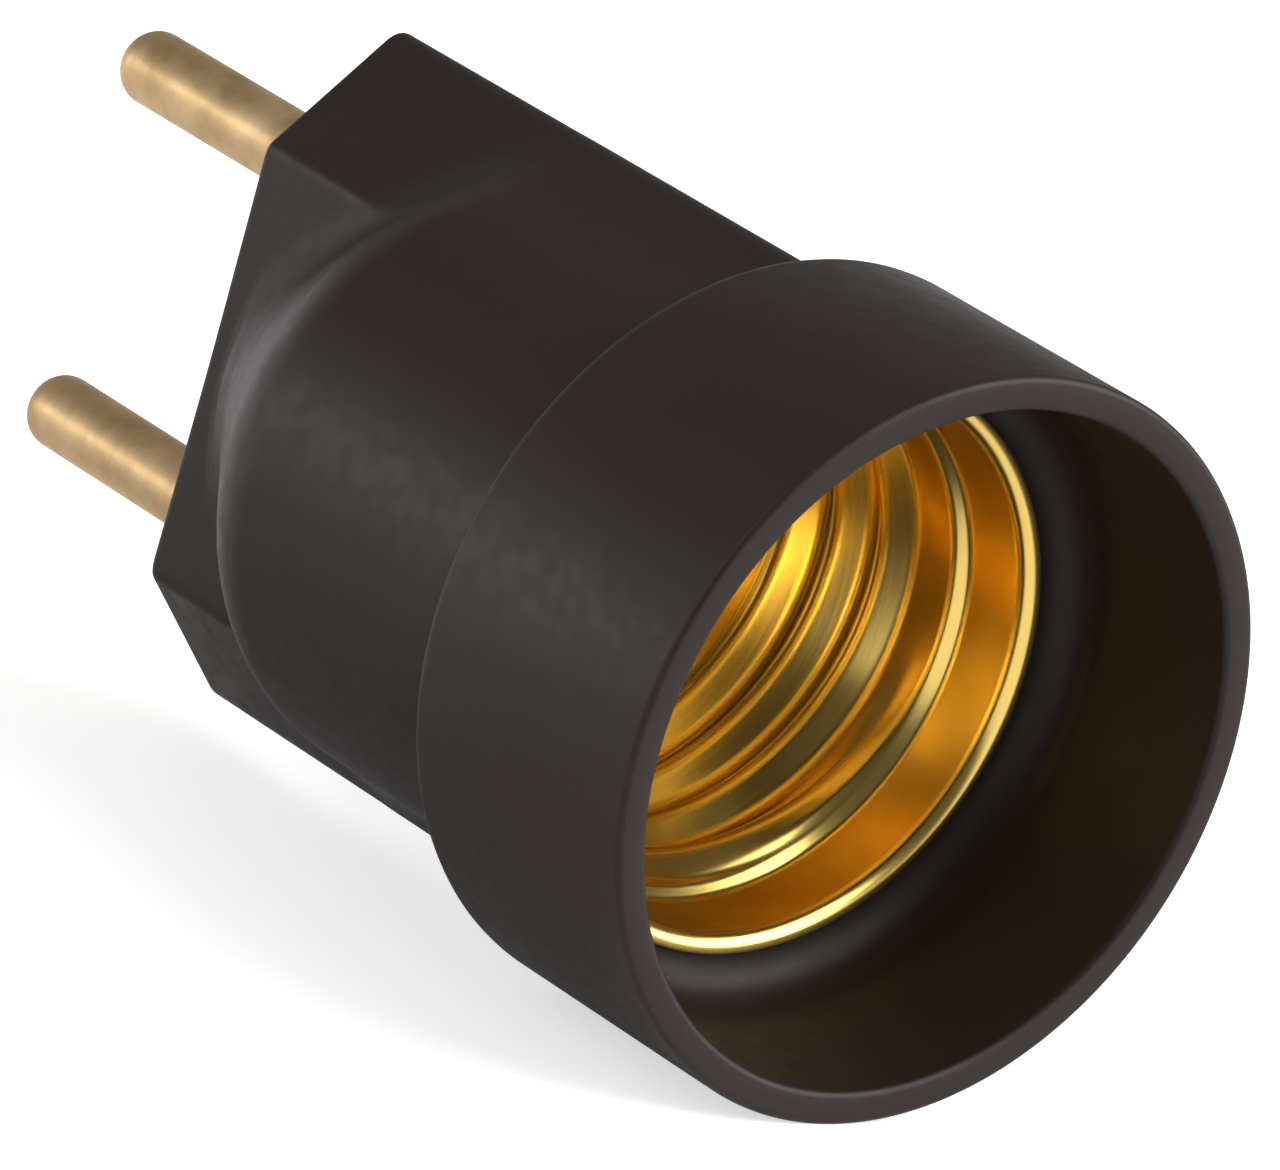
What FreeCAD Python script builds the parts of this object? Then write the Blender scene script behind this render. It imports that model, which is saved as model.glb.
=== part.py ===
import FreeCAD, Part
import os
import re

from FreeCAD import Placement, Rotation, Vector
import Sketcher

# A lamp holder that plugs straight into a wall socket: two round pins, a six-sided plug end,
# a round neck round the screw shell and a wider cup round the lamp's cap.
#
# Every piece is drawn along the holder's own axis: z runs from the cup's mouth (0) towards the
# pins, x runs along the line through both pins, y runs across the wide faces of the plug end.
# In the finished part the middle of the plug's engagement face is the origin, the pins point
# to +Y, the mouth to -Y, and the pins stand one above the other along Z.

DRIVING_SIZES = {
    # moulded housing
    "body_length": 51.75,
    "plug_width": 36.9,
    "plug_flat_width": 23.2,
    "plug_thickness": 13.2,
    "plug_ridge_round": 1.0,
    "plug_face_round": 0.5,
    "cup_diameter": 38.6,
    "cup_length": 16.6,
    "cup_wall": 1.75,
    "cup_depth": 11.6,
    "cup_floor_round": 2.3,
    "cup_edge_bevel": 0.3,
    "rim_bevel": 0.25,
    "neck_diameter": 32.0,
    "slope_length": 12.6,
    "flat_end_length": 1.95,
    "slope_overrun": 0.6,
    "socket_clearance": 0.35,
    "socket_depth": 36.0,
    "ledge_clearance": 0.1,
    "pocket_clearance": 0.3,
    "pocket_height": 8.0,
    "pocket_corner": 1.0,
    "end_wall": 5.25,
    # plug pins with their nuts and washers
    "pin_spacing": 19.0,
    "pin_diameter": 4.0,
    "pin_length": 19.0,
    "pin_tip_round": 1.5,
    "pin_clearance": 0.05,
    "root_diameter": 4.8,
    "root_depth": 1.1,
    "stud_diameter": 2.5,
    "stud_end": 0.6,
    "washer_diameter": 4.5,
    "washer_thickness": 0.5,
    "nut_flats": 5.0,
    "nut_thickness": 2.0,
    # rolled screw shell
    "shell_sheet": 0.45,
    "shell_bore": 26.8,
    "lip_width": 1.1,
    "lip_bevel": 0.3,
    "shoulder_step": 0.7,
    "collar_end": 15.4,
    "collar_clearance": 0.05,
    "shoulder_slope": 50.0,
    "thread_pitch": 3.629,
    "thread_lead": 0.91,
    "thread_end_gap": 2.5,
    "thread_depth": 1.1,
    "thread_rib_radius": 1.2,
    "hub_clearance": 0.1,
    # insulating contact carrier
    "carrier_thickness": 2.55,
    "carrier_clearance": 0.1,
    "hub_diameter": 11.4,
    "hub_height": 1.95,
    "slot_clearance": 0.1,
    # contact strips
    "strip_thickness": 0.5,
    "strip_width": 5.0,
    "strip_overhang": 2.8,
    "centre_riser": 3.5,
    "centre_fold": 5.5,
    "leaf_rise": 2.7,
    "leaf_tip_rise": 4.6,
    "leaf_reach": 1.2,
    "leaf_tip_length": 1.8,
    "leaf_tip_drop": 1.2,
    "shell_riser": 6.5,
    "rivet_overhang": 2.3,
    # rivets
    "rivet_diameter": 2.0,
    "rivet_head": 3.6,
    "rivet_head_height": 0.7,
    "rivet_offset": 9.5,
    "centre_rivet_offset": 1.5,
    # screws that hold the carrier in the housing
    "screw_offset": 9.0,
    "screw_diameter": 2.6,
    "screw_length": 10.0,
    "screw_head": 4.6,
    "screw_head_height": 1.6,
    "screw_slot_width": 0.7,
    "screw_slot_depth": 0.8,
    "screw_hole_reserve": 0.5,
}

doc = FreeCAD.newDocument("plug_in_lamp_holder")
sizes = doc.addObject("Spreadsheet::Sheet", "Sizes")
for row, (alias, value) in enumerate(DRIVING_SIZES.items(), start=1):
    sizes.set(f"A{row}", alias)
    sizes.set(f"B{row}", str(value))
    sizes.setAlias(f"B{row}", alias)
doc.recompute()

# The holder's axis lies along +Y in the finished part, and its x axis stands up along +Z.
AXIS_TO_PART = Rotation(Vector(1, 1, 1), 240)

# Places along the axis that several pieces share, written from the driving sizes.
POCKET_FLOOR = "(body_length - end_wall)"
ROOT_SEAT = "(body_length - root_depth)"
STRIP_TOP = f"{POCKET_FLOOR} - strip_thickness"
WASHER_TOP = f"{STRIP_TOP} - washer_thickness"
NUT_TOP = f"{WASHER_TOP} - nut_thickness"
CARRIER_TOP = "socket_depth - carrier_thickness"
SHELL_FLOOR_TOP = f"{CARRIER_TOP} - shell_sheet"
HUB_TOP = f"{CARRIER_TOP} - hub_height"
SLOPE_END = "(body_length - flat_end_length)"
NECK_END = f"({SLOPE_END} - slope_length)"
SOCKET_BORE = "(shell_bore + 2 * (shell_sheet + socket_clearance))"
COLLAR_BORE = "(shell_bore + 2 * shoulder_step)"
LIP_TOP = "(cup_depth - shell_sheet)"
LIP_DIAMETER = f"({COLLAR_BORE} + 2 * lip_width)"
CUP_BORE = "(cup_diameter - 2 * cup_wall)"
SHOULDER_END = "collar_end + shoulder_step / tan(shoulder_slope * 1 deg)"
THREAD_START = f"({SHOULDER_END} + thread_lead)"
FLOOR_OPENING = "(hub_diameter + 2 * hub_clearance)"
STRIP_END = "(pin_spacing / 2 + strip_overhang)"
STRAP_END = "(rivet_offset + rivet_overhang)"
POCKET_WIDTH = f"(2 * ({STRIP_END} + pocket_clearance))"
SHEET_SHIFT = "shell_sheet * tan(shoulder_slope / 2 * 1 deg)"

# Places closer than this are the same place.
SAME_PLACE = 1e-4

nodes = []


def bound(expression):
    """Put the sheet's name before every size that an expression uses."""
    return re.sub(
        r"[a-z][a-z_]*[a-z]",
        lambda word: f"Sizes.{word[0]}" if word[0] in DRIVING_SIZES else word[0],
        expression,
    )


def value_of(expression):
    """Work out an expression of sheet sizes as a plain number."""
    result = sizes.evalExpression(bound(expression).replace("Sizes.", ""))
    return float(getattr(result, "Value", result))


def new_body(name, along="0", across="0"):
    """Start a piece whose own z axis lies along the holder's axis, shifted along the pins' line."""
    body = doc.addObject("PartDesign::Body", name)
    body.Label = name
    body.Placement = Placement(Vector(0, 0, 0), AXIS_TO_PART)
    body.setExpression("Placement.Base.x", bound(across))
    body.setExpression("Placement.Base.y", bound("-(body_length)"))
    body.setExpression("Placement.Base.z", bound(along))
    nodes.append(body)
    return body


def new_sketch(body, name, plane, level="0"):
    """Add a sketch on one of the body's own planes, raised along that plane's normal."""
    sketch = body.newObject("Sketcher::SketchObject", name)
    origin_plane = next(item for item in body.Origin.OriginFeatures if item.Role == plane)
    sketch.AttachmentSupport = (origin_plane, [""])
    sketch.MapMode = "FlatFace"
    if level != "0":
        sketch.setExpression("AttachmentOffset.Base.z", bound(level))
    return sketch


def place_point(sketch, geometry, end, across, upward):
    """Tie one sketch point to the sketch's axes or to two signed distances from its origin."""
    for kind, expression, axis in (("DistanceX", across, -2), ("DistanceY", upward, -1)):
        if expression == "0":
            sketch.addConstraint(Sketcher.Constraint("PointOnObject", geometry, end, axis))
            continue
        datum = Sketcher.Constraint(kind, -1, 1, geometry, end, value_of(expression))
        index = sketch.addConstraint(datum)
        sketch.setExpression(f"Constraints[{index}]", bound(expression))


def draw_outline(sketch, corners):
    """Draw a closed outline through corners, each a pair of expressions."""
    spots = [Vector(value_of(across), value_of(upward), 0) for across, upward in corners]
    first = sketch.GeometryCount
    for start, finish in zip(spots, spots[1:] + spots[:1]):
        sketch.addGeometry(Part.LineSegment(start, finish), False)
    for index, (across, upward) in enumerate(corners):
        line = first + index
        before = first + (index - 1) % len(corners)
        sketch.addConstraint(Sketcher.Constraint("Coincident", before, 2, line, 1))
        place_point(sketch, line, 1, across, upward)


def draw_circle(sketch, diameter, across="0", upward="0"):
    """Draw a circle of a bound diameter about a bound centre."""
    centre = Vector(value_of(across), value_of(upward), 0)
    radius = value_of(diameter) / 2
    circle = sketch.addGeometry(Part.Circle(centre, Vector(0, 0, 1), radius), False)
    index = sketch.addConstraint(Sketcher.Constraint("Diameter", circle, 2 * radius))
    sketch.setExpression(f"Constraints[{index}]", bound(diameter))
    place_point(sketch, circle, 3, across, upward)


def revolve(body, name, corners, kind="PartDesign::Revolution", angle=360.0):
    """Turn an outline of (radius, height) corners about the body's z axis."""
    sketch = new_sketch(body, f"{name}_outline", "XZ_Plane")
    draw_outline(sketch, corners)
    feature = body.newObject(kind, name)
    feature.Profile = sketch
    feature.ReferenceAxis = (sketch, ["V_Axis"])
    feature.Angle = angle
    return feature


def pad(body, name, sketch, length, symmetric=False):
    """Raise a sketch along its normal by a bound length."""
    feature = body.newObject("PartDesign::Pad", name)
    feature.Profile = sketch
    feature.setExpression("Length", bound(length))
    feature.SideType = "Symmetric" if symmetric else "One side"
    return feature


def pocket(body, name, sketch, length):
    """Cut a sketch into the body along the sketch's normal by a bound length."""
    feature = body.newObject("PartDesign::Pocket", name)
    feature.Profile = sketch
    feature.Reversed = True
    feature.setExpression("Length", bound(length))
    return feature


def dress_edges(body, name, kind, measure, size, wanted):
    """Work the edges of the body's last feature that a test picks out."""
    doc.recompute()
    base = body.Tip
    picked = [f"Edge{number}" for number, edge in enumerate(base.Shape.Edges, start=1) if wanted(edge)]
    if not picked:
        raise RuntimeError(f"{body.Name}.{name} finds no edge")
    feature = body.newObject(kind, name)
    feature.Base = (base, picked)
    feature.setExpression(measure, bound(size))


def round_edges(body, name, radius, wanted):
    """Round the picked edges to a bound radius."""
    dress_edges(body, name, "PartDesign::Fillet", "Radius", radius, wanted)


def bevel_edges(body, name, size, wanted):
    """Break the picked edges by a bound width."""
    dress_edges(body, name, "PartDesign::Chamfer", "Size", size, wanted)


def is_circle_at(edge, height, diameter):
    """Tell whether an edge is a circle of this diameter at this height."""
    curve = edge.Curve
    if not isinstance(curve, Part.Circle):
        return False
    same_height = abs(curve.Center.z - value_of(height)) < SAME_PLACE
    return same_height and abs(2 * curve.Radius - value_of(diameter)) < SAME_PLACE


def is_upright(edge):
    """Tell whether an edge is a straight line along z."""
    if not isinstance(edge.Curve, (Part.Line, Part.LineSegment)):
        return False
    return abs(edge.Curve.Direction.z) > 0.999


# Housing: the plug end, the cup and neck, then the spaces inside.
def make_housing():
    body = new_body("housing")
    prism_root = "(cup_depth + cup_length) / 2"
    prism = new_sketch(body, "plug_outline", "XY_Plane", prism_root)
    draw_outline(prism, [
        ("plug_width / 2", "0"),
        ("plug_flat_width / 2", "plug_thickness / 2"),
        ("-plug_flat_width / 2", "plug_thickness / 2"),
        ("-plug_width / 2", "0"),
        ("-plug_flat_width / 2", "-plug_thickness / 2"),
        ("plug_flat_width / 2", "-plug_thickness / 2"),
    ])
    pad(body, "plug_prism", prism, f"body_length - {prism_root}")
    round_edges(body, "plug_ridges", "plug_ridge_round", is_upright)
    face_height = value_of("body_length")
    round_edges(
        body, "plug_face_edge", "plug_face_round",
        lambda edge: min(vertex.Z for vertex in edge.Vertexes) > face_height - SAME_PLACE,
    )
    slope_run = "slope_length / (neck_diameter / 2 - plug_thickness / 2)"
    revolve(body, "cup_and_neck", [
        ("0", "0"),
        ("cup_diameter / 2", "0"),
        ("cup_diameter / 2", "cup_length"),
        ("neck_diameter / 2", "cup_length"),
        ("neck_diameter / 2", NECK_END),
        ("plug_thickness / 2 - slope_overrun", f"{SLOPE_END} + slope_overrun * {slope_run}"),
        ("0", f"{SLOPE_END} + slope_overrun * {slope_run}"),
    ])
    bevel_edges(
        body, "cup_back_edge", "cup_edge_bevel",
        lambda edge: is_circle_at(edge, "cup_length", "cup_diameter"),
    )
    counterbore = f"{COLLAR_BORE} / 2 + shell_sheet + collar_clearance"
    ledge = f"{SHOULDER_END} + ledge_clearance"
    revolve(body, "cup_and_socket_bore", [
        ("0", "0"),
        (f"{CUP_BORE} / 2", "0"),
        (f"{CUP_BORE} / 2", "cup_depth"),
        (counterbore, "cup_depth"),
        (counterbore, ledge),
        (f"{SOCKET_BORE} / 2", ledge),
        (f"{SOCKET_BORE} / 2", "socket_depth"),
        ("0", "socket_depth"),
    ], kind="PartDesign::Groove")
    round_edges(
        body, "cup_floor_edge", "cup_floor_round",
        lambda edge: is_circle_at(edge, "cup_depth", CUP_BORE),
    )
    bevel_edges(
        body, "rim_edges", "rim_bevel",
        lambda edge: is_circle_at(edge, "0", "cup_diameter") or is_circle_at(edge, "0", CUP_BORE),
    )
    space = new_sketch(body, "contact_space_outline", "XY_Plane", "socket_depth")
    draw_outline(space, [
        (f"{POCKET_WIDTH} / 2", "pocket_height / 2"),
        (f"-{POCKET_WIDTH} / 2", "pocket_height / 2"),
        (f"-{POCKET_WIDTH} / 2", "-pocket_height / 2"),
        (f"{POCKET_WIDTH} / 2", "-pocket_height / 2"),
    ])
    pocket(body, "contact_space", space, f"{POCKET_FLOOR} - socket_depth")
    corner_reach = value_of(POCKET_WIDTH) / 2
    round_edges(
        body, "contact_space_corners", "pocket_corner",
        lambda edge: is_upright(edge) and abs(abs(edge.Vertexes[0].X) - corner_reach) < SAME_PLACE
        and abs(abs(edge.Vertexes[0].Y) - value_of("pocket_height") / 2) < SAME_PLACE,
    )
    stud_holes = new_sketch(body, "stud_hole_circles", "XY_Plane", POCKET_FLOOR)
    root_recesses = new_sketch(body, "root_recess_circles", "XY_Plane", ROOT_SEAT)
    for side in ("", "-"):
        draw_circle(stud_holes, "stud_diameter + 2 * pin_clearance", f"{side}pin_spacing / 2")
        draw_circle(root_recesses, "root_diameter + 2 * pin_clearance", f"{side}pin_spacing / 2")
    pocket(body, "stud_holes", stud_holes, "end_wall")
    pocket(body, "root_recesses", root_recesses, "root_depth")
    pilot_holes = new_sketch(body, "pilot_hole_circles", "XY_Plane", "socket_depth")
    for side in ("", "-"):
        draw_circle(pilot_holes, "screw_diameter", "0", f"{side}screw_offset")
    reach = f"screw_length - (socket_depth - ({SHELL_FLOOR_TOP})) + screw_hole_reserve"
    pocket(body, "pilot_holes", pilot_holes, reach)


# Carrier: a moulded disc on the socket's ledge, with a hub that keeps the two contacts apart.
def make_contact_carrier():
    body = new_body("contact_carrier")
    disc = new_sketch(body, "disc_outline", "XY_Plane", CARRIER_TOP)
    draw_circle(disc, f"{SOCKET_BORE} - 2 * carrier_clearance")
    pad(body, "disc", disc, "carrier_thickness")
    hub = new_sketch(body, "hub_outline", "XY_Plane", HUB_TOP)
    draw_circle(hub, "hub_diameter")
    pad(body, "hub", hub, "hub_height")
    half_slot = "(strip_width / 2 + slot_clearance)"
    centre_slot = new_sketch(body, "centre_slot_outline", "XY_Plane", HUB_TOP)
    draw_outline(centre_slot, [
        ("centre_riser - slot_clearance", half_slot),
        ("centre_riser + strip_thickness + slot_clearance", half_slot),
        ("centre_riser + strip_thickness + slot_clearance", f"-{half_slot}"),
        ("centre_riser - slot_clearance", f"-{half_slot}"),
    ])
    pocket(body, "centre_slot", centre_slot, "hub_height + carrier_thickness")
    recess = new_sketch(body, "strap_recess_outline", "XY_Plane", CARRIER_TOP)
    draw_outline(recess, [
        ("-(shell_riser - strip_thickness - slot_clearance)", half_slot),
        (f"-({STRAP_END} + slot_clearance)", half_slot),
        (f"-({STRAP_END} + slot_clearance)", f"-{half_slot}"),
        ("-(shell_riser - strip_thickness - slot_clearance)", f"-{half_slot}"),
    ])
    pocket(body, "strap_recess", recess, "strip_thickness")
    shell_slot = new_sketch(body, "shell_slot_outline", "XY_Plane", CARRIER_TOP)
    draw_outline(shell_slot, [
        ("-(shell_riser - strip_thickness - slot_clearance)", half_slot),
        ("-(shell_riser + slot_clearance)", half_slot),
        ("-(shell_riser + slot_clearance)", f"-{half_slot}"),
        ("-(shell_riser - strip_thickness - slot_clearance)", f"-{half_slot}"),
    ])
    pocket(body, "shell_slot", shell_slot, "carrier_thickness")
    holes = new_sketch(body, "fastener_hole_circles", "XY_Plane", HUB_TOP)
    for side in ("", "-"):
        draw_circle(holes, "screw_diameter", "0", f"{side}screw_offset")
        draw_circle(holes, "rivet_diameter", f"{side}rivet_offset")
    draw_circle(holes, "rivet_diameter", "-centre_rivet_offset")
    pocket(body, "fastener_holes", holes, "hub_height + carrier_thickness")


# Screw shell: drawn and rolled sheet. Its flared lip rests on the cup's floor, and a smooth collar,
# a shoulder, a coarse thread and an inturned floor follow.
def make_screw_shell():
    body = new_body("screw_shell")
    revolve(body, "drawn_cup", [
        (f"{COLLAR_BORE} / 2", LIP_TOP),
        (f"{LIP_DIAMETER} / 2", LIP_TOP),
        (f"{LIP_DIAMETER} / 2", "cup_depth"),
        (f"{COLLAR_BORE} / 2 + shell_sheet", "cup_depth"),
        (f"{COLLAR_BORE} / 2 + shell_sheet", f"collar_end + {SHEET_SHIFT}"),
        ("shell_bore / 2 + shell_sheet", f"{SHOULDER_END} + {SHEET_SHIFT}"),
        ("shell_bore / 2 + shell_sheet", CARRIER_TOP),
        (f"{FLOOR_OPENING} / 2", CARRIER_TOP),
        (f"{FLOOR_OPENING} / 2", SHELL_FLOOR_TOP),
        ("shell_bore / 2", SHELL_FLOOR_TOP),
        ("shell_bore / 2", SHOULDER_END),
        (f"{COLLAR_BORE} / 2", "collar_end"),
    ])
    bevel_edges(body, "lip_edge", "lip_bevel", lambda edge: is_circle_at(edge, LIP_TOP, COLLAR_BORE))
    roll_thread(body, "thread_rib", "PartDesign::AdditiveHelix", "thread_rib_radius",
                "shell_bore / 2 + shell_sheet / 2")
    roll_thread(body, "thread_groove", "PartDesign::SubtractiveHelix",
                "thread_rib_radius - shell_sheet", "shell_bore / 2 + 2 * shell_sheet")
    holes = new_sketch(body, "floor_hole_circles", "XY_Plane", SHELL_FLOOR_TOP)
    for side in ("", "-"):
        draw_circle(holes, "screw_diameter", "0", f"{side}screw_offset")
        draw_circle(holes, "rivet_diameter", f"{side}rivet_offset")
    pocket(body, "floor_holes", holes, "shell_sheet")


# Four flats stand for each half-round of the thread's section.
THREAD_FLATS = 4


def roll_thread(body, name, kind, radius, outer):
    """Wind a half-round section, closed at the outer radius, round the shell."""
    centre = "shell_bore / 2 - thread_depth + thread_rib_radius"
    sketch = new_sketch(body, f"{name}_section", "YZ_Plane")
    corners = [(outer, f"{THREAD_START} - ({radius})"), (outer, f"{THREAD_START} + ({radius})")]
    for step in range(THREAD_FLATS + 1):
        turn = f"({90 - step * 180 / THREAD_FLATS} deg)"
        across = f"{centre} - ({radius}) * cos({turn})"
        corners.append((across, f"{THREAD_START} + ({radius}) * sin({turn})"))
    draw_outline(sketch, corners)
    feature = body.newObject(kind, name)
    feature.Profile = sketch
    feature.ReferenceAxis = (sketch, ["V_Axis"])
    feature.Mode = "pitch-height-angle"
    feature.setExpression("Pitch", bound("thread_pitch"))
    feature.setExpression("Height", bound(f"{SHELL_FLOOR_TOP} - {THREAD_START} - thread_end_gap"))


# Centre contact: one strip, screwed to the upper pin, led up through the hub and folded over
# into a springy leaf under the lamp's centre.
def make_centre_contact():
    body = new_body("centre_contact")
    base_top = f"{HUB_TOP} - strip_thickness"
    outline = new_sketch(body, "strip_outline", "XZ_Plane")
    draw_outline(outline, [
        (STRIP_END, POCKET_FLOOR),
        ("centre_riser", POCKET_FLOOR),
        ("centre_riser", HUB_TOP),
        ("-centre_fold", HUB_TOP),
        ("-centre_fold", f"{base_top} - leaf_rise"),
        ("leaf_reach", f"{base_top} - leaf_tip_rise"),
        ("leaf_reach + leaf_tip_length", f"{base_top} - leaf_tip_rise + leaf_tip_drop"),
        ("leaf_reach + leaf_tip_length - strip_thickness * 0.6",
         f"{base_top} - leaf_tip_rise + leaf_tip_drop + strip_thickness * 0.8"),
        ("leaf_reach", f"{base_top} - leaf_tip_rise + strip_thickness * 1.1"),
        ("-centre_fold + strip_thickness", f"{base_top} - leaf_rise + strip_thickness"),
        ("-centre_fold + strip_thickness", base_top),
        ("centre_riser + strip_thickness", base_top),
        ("centre_riser + strip_thickness", STRIP_TOP),
        (STRIP_END, STRIP_TOP),
    ])
    pad(body, "strip", outline, "strip_width", symmetric=True)
    rivet_hole = new_sketch(body, "rivet_hole_circle", "XY_Plane", base_top)
    draw_circle(rivet_hole, "rivet_diameter", "-centre_rivet_offset")
    pocket(body, "rivet_hole", rivet_hole, "strip_thickness")
    pin_hole = new_sketch(body, "pin_hole_circle", "XY_Plane", STRIP_TOP)
    draw_circle(pin_hole, "stud_diameter + 2 * pin_clearance", "pin_spacing / 2")
    pocket(body, "pin_hole", pin_hole, "strip_thickness")


# Shell strap: one strip from under the shell's floor to the lower pin.
def make_shell_strap():
    body = new_body("shell_strap")
    outline = new_sketch(body, "strip_outline", "XZ_Plane")
    draw_outline(outline, [
        (f"-{STRAP_END}", CARRIER_TOP),
        ("-(shell_riser - strip_thickness)", CARRIER_TOP),
        ("-(shell_riser - strip_thickness)", POCKET_FLOOR),
        (f"-{STRIP_END}", POCKET_FLOOR),
        (f"-{STRIP_END}", STRIP_TOP),
        ("-shell_riser", STRIP_TOP),
        ("-shell_riser", f"{CARRIER_TOP} + strip_thickness"),
        (f"-{STRAP_END}", f"{CARRIER_TOP} + strip_thickness"),
    ])
    pad(body, "strip", outline, "strip_width", symmetric=True)
    rivet_hole = new_sketch(body, "rivet_hole_circle", "XY_Plane", CARRIER_TOP)
    draw_circle(rivet_hole, "rivet_diameter", "-rivet_offset")
    pocket(body, "rivet_hole", rivet_hole, "strip_thickness")
    pin_hole = new_sketch(body, "pin_hole_circle", "XY_Plane", STRIP_TOP)
    draw_circle(pin_hole, "stud_diameter + 2 * pin_clearance", "-pin_spacing / 2")
    pocket(body, "pin_hole", pin_hole, "strip_thickness")


# Plug pin: turned from solid bar, from the threaded stud inside to the rounded tip. Its wider
# root lies flush in the plug's face and takes the push, and the nut inside takes the pull.
def make_pin(name, along):
    body = new_body(name, along)
    stud_top = f"{NUT_TOP} - stud_end"
    tip = "body_length + pin_length"
    revolve(body, "turned_bar", [
        ("0", stud_top),
        ("stud_diameter / 2", stud_top),
        ("stud_diameter / 2", ROOT_SEAT),
        ("root_diameter / 2", ROOT_SEAT),
        ("root_diameter / 2", "body_length"),
        ("pin_diameter / 2", "body_length"),
        ("pin_diameter / 2", tip),
        ("0", tip),
    ])
    round_edges(body, "tip", "pin_tip_round", lambda edge: is_circle_at(edge, tip, "pin_diameter"))


# Hexagon nut that clamps a strip to its pin, with two flats facing along the pins' line.
def make_pin_nut(name, along):
    blank = doc.addObject("Part::Prism", f"{name}_blank")
    blank.Polygon = 6
    blank.setExpression("Circumradius", bound("nut_flats / 2 / cos(30 deg)"))
    blank.setExpression("Height", bound("nut_thickness"))
    blank.Placement = Placement(Vector(0, 0, 0), Rotation(Vector(0, 0, 1), 90))
    thread = doc.addObject("Part::Cylinder", f"{name}_thread")
    thread.setExpression("Radius", bound("stud_diameter / 2"))
    thread.setExpression("Height", bound("nut_thickness"))
    nut = doc.addObject("Part::Cut", name)
    nut.Base = blank
    nut.Tool = thread
    nut.Label = name
    nut.Placement = Placement(Vector(0, 0, 0), AXIS_TO_PART)
    nut.setExpression("Placement.Base.y", bound(f"{NUT_TOP} - body_length"))
    nut.setExpression("Placement.Base.z", bound(along))
    nodes.append(nut)


# Split spring washer under the nut.
def make_lock_washer(name, along):
    body = new_body(name, along)
    revolve(body, "split_ring", [
        ("stud_diameter / 2 + pin_clearance", WASHER_TOP),
        ("washer_diameter / 2", WASHER_TOP),
        ("washer_diameter / 2", STRIP_TOP),
        ("stud_diameter / 2 + pin_clearance", STRIP_TOP),
    ], angle=345.0)


# Rivet with a set head on the socket side and a peened head behind the carrier.
def make_rivet(name, along, seat):
    body = new_body(name, along)
    revolve(body, "set_rivet", [
        ("0", f"{seat} - rivet_head_height"),
        ("rivet_head / 2", f"{seat} - rivet_head_height"),
        ("rivet_head / 2", seat),
        ("rivet_diameter / 2", seat),
        ("rivet_diameter / 2", "socket_depth"),
        ("rivet_head / 2", "socket_depth"),
        ("rivet_head / 2", "socket_depth + rivet_head_height"),
        ("0", "socket_depth + rivet_head_height"),
    ])
    head_top = f"{seat} - rivet_head_height"
    bevel_edges(
        body, "head_crown", "rivet_head_height * 0.6",
        lambda edge: is_circle_at(edge, head_top, "rivet_head"),
    )


# Slotted screw through the shell's floor and the carrier into the housing.
def make_carrier_screw(name, across):
    body = new_body(name, across=across)
    head_top = f"{SHELL_FLOOR_TOP} - screw_head_height"
    revolve(body, "turned_blank", [
        ("0", head_top),
        ("screw_head / 2", head_top),
        ("screw_head / 2", SHELL_FLOOR_TOP),
        ("screw_diameter / 2", SHELL_FLOOR_TOP),
        ("screw_diameter / 2", f"{SHELL_FLOOR_TOP} + screw_length"),
        ("0", f"{SHELL_FLOOR_TOP} + screw_length"),
    ])
    bevel_edges(
        body, "head_crown", "screw_head_height * 0.5",
        lambda edge: is_circle_at(edge, head_top, "screw_head"),
    )
    slot = new_sketch(body, "slot_outline", "XY_Plane", head_top)
    draw_outline(slot, [
        ("screw_head / 2", "screw_slot_width / 2"),
        ("-screw_head / 2", "screw_slot_width / 2"),
        ("-screw_head / 2", "-screw_slot_width / 2"),
        ("screw_head / 2", "-screw_slot_width / 2"),
    ])
    pocket(body, "slot", slot, "screw_slot_depth")


def check_model():
    """Stop if any object failed or any piece is not one sound solid."""
    doc.recompute()
    for item in doc.Objects:
        if "Invalid" in item.State or "Error" in item.State:
            raise RuntimeError(f"{item.Name} is {item.State}")
    for node in nodes:
        shape = node.Shape
        if shape.isNull() or not shape.isValid() or len(shape.Solids) != 1:
            raise RuntimeError(f"{node.Label} is not one sound solid")


def write_parts():
    """Write every piece to its own file."""
    os.makedirs("parts", exist_ok=True)
    for node in nodes:
        node.Shape.exportStep(f"parts/{node.Label}.step")
        print(f"{node.Label}: {node.Shape.Volume:.1f} cubic mm")


UPPER = "pin_spacing / 2"
LOWER = "-pin_spacing / 2"

make_housing()
make_contact_carrier()
make_screw_shell()
make_centre_contact()
make_shell_strap()
for position, along in (("upper", UPPER), ("lower", LOWER)):
    make_pin(f"pin_{position}", along)
    make_lock_washer(f"lock_washer_{position}", along)
    make_pin_nut(f"pin_nut_{position}", along)
make_rivet("centre_rivet", "-centre_rivet_offset", f"{HUB_TOP} - strip_thickness")
make_rivet("shell_rivet_upper", "rivet_offset", SHELL_FLOOR_TOP)
make_rivet("shell_rivet_lower", "-rivet_offset", SHELL_FLOOR_TOP)
make_carrier_screw("carrier_screw_right", "screw_offset")
make_carrier_screw("carrier_screw_left", "-screw_offset")
check_model()
write_parts()
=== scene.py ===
"""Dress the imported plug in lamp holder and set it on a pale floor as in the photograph.

The sub-assemblies are drawn in millimetres in the holder's own frame: x along the line through
both pins, y across the wide faces of the plug end, and z from the cup's mouth towards the pins.
TO_ROW_FRAME then carries a finished mesh into the row's frame, in metres.
"""

import logging
import math
from dataclasses import dataclass, field
from enum import Enum
from typing import Dict, List, Optional, Sequence, Tuple

import bmesh
import bpy
from mathutils import Matrix, Vector


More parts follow.
